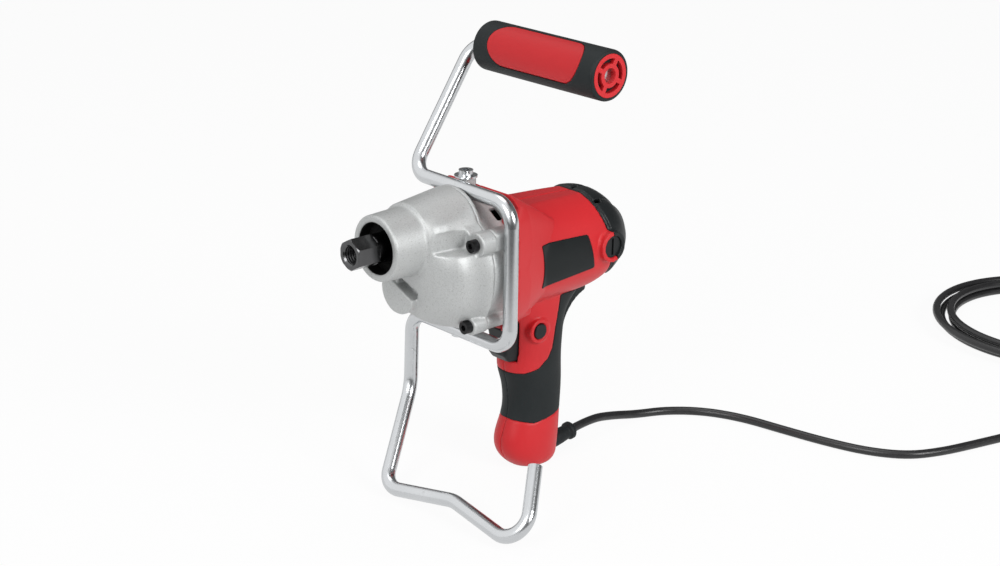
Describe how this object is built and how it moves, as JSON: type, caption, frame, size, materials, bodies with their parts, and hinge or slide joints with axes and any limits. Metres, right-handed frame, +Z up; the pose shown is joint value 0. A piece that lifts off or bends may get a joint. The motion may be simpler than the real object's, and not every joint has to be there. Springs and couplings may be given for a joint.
{
  "type": "mixing drill",
  "caption": "Corded pistol-grip mixing drill with a cast gear housing, threaded hex spindle and one bent steel rod that forms the top handle and the foot.",
  "frame": {"origin": "centre of the threaded spindle's mouth", "axes": "-Y out of the nose along the spindle axis, +Z up, +X the tool's left side with the lock button"},
  "size_m": [0.2975, 0.7939, 0.3187],
  "materials": {
    "cast_aluminium": "fine sand-cast skin",
    "zinc_steel": "zinc plated",
    "black_steel": "black oxide",
    "steel": "ground",
    "brass": "turned",
    "copper": "enamelled wire",
    "carbon": "pressed carbon",
    "red_plastic": "fine moulded grain",
    "black_plastic": "fine moulded grain",
    "rubber": "soft overmould"
  },
  "bodies": {
    "housing": {"gear_housing": "cast_aluminium", "middle_housing": "cast_aluminium", "gearcase_screws": "black_steel", "spindle_front_bearing": "steel", "spindle_rear_bearing": "steel", "spindle_seal": "rubber", "layshaft_front_bush": "brass", "layshaft_rear_bearing": "steel", "motor_front_bearing": "steel", "motor_rear_bearing": "steel", "fan_baffle": "black_plastic", "field_core": "steel", "field_coils": "copper", "brush_holders": "brass", "carbon_brushes": "carbon", "brush_springs": "steel", "brush_caps": "black_plastic", "housing_left": "red_plastic", "housing_right": "red_plastic", "housing_screws": "black_steel", "grip_rubber_left": "rubber", "grip_rubber_right": "rubber", "rear_cover": "black_plastic", "rear_cover_screws": "black_steel", "switch_body": "black_plastic", "handle_rod": "zinc_steel", "rod_clamp_washers": "zinc_steel", "rod_clamp_screws": "zinc_steel", "handle_core": "red_plastic", "handle_rubber": "rubber", "cord_guard": "rubber", "cord_clamp": "black_plastic", "cord_clamp_screws": "steel", "cord_lead": "rubber", "cord": "rubber", "cord_coil": "rubber", "plug": "rubber", "plug_pins": "brass"},
    "rotor": {"armature_shaft": "steel", "armature_core": "steel", "armature_windings": "copper", "commutator": "copper", "fan": "black_plastic"},
    "layshaft": {"layshaft": "steel", "layshaft_gear": "steel"},
    "spindle": {"spindle": "black_steel", "output_gear": "steel", "spindle_key": "steel", "gear_retaining_ring": "steel"},
    "trigger": {"trigger": "black_plastic"},
    "lock_button": {"lock_button": "black_plastic"}
  },
  "joints": [
    {"name": "rotor_spin", "type": "hinge", "parent": "housing", "child": "rotor", "pos_m": [0, 0.16, -0.028], "axis": [0, 1, 0], "continuous": true},
    {"name": "layshaft_spin", "type": "hinge", "parent": "housing", "child": "layshaft", "pos_m": [-0.02012, 0.07, -0.01911], "axis": [0, 1, 0], "continuous": true},
    {"name": "spindle_spin", "type": "hinge", "parent": "housing", "child": "spindle", "pos_m": [0, 0.05, 0], "axis": [0, 1, 0], "continuous": true},
    {"name": "trigger_slide", "type": "slide", "parent": "housing", "child": "trigger", "axis": [0, 1, 0], "range_m": [0, 0.006], "stiffness_N_per_m": 900, "springref_m": -0.004},
    {"name": "lock_button_slide", "type": "slide", "parent": "housing", "child": "lock_button", "axis": [-1, 0, 0], "range_m": [0, 0.003], "stiffness_N_per_m": 600, "springref_m": -0.003}
  ],
  "couplings": [
    {"joint": "layshaft_spin", "follows": "rotor_spin", "ratio": -0.25714},
    {"joint": "spindle_spin", "follows": "rotor_spin", "ratio": 0.082653}
  ]
}
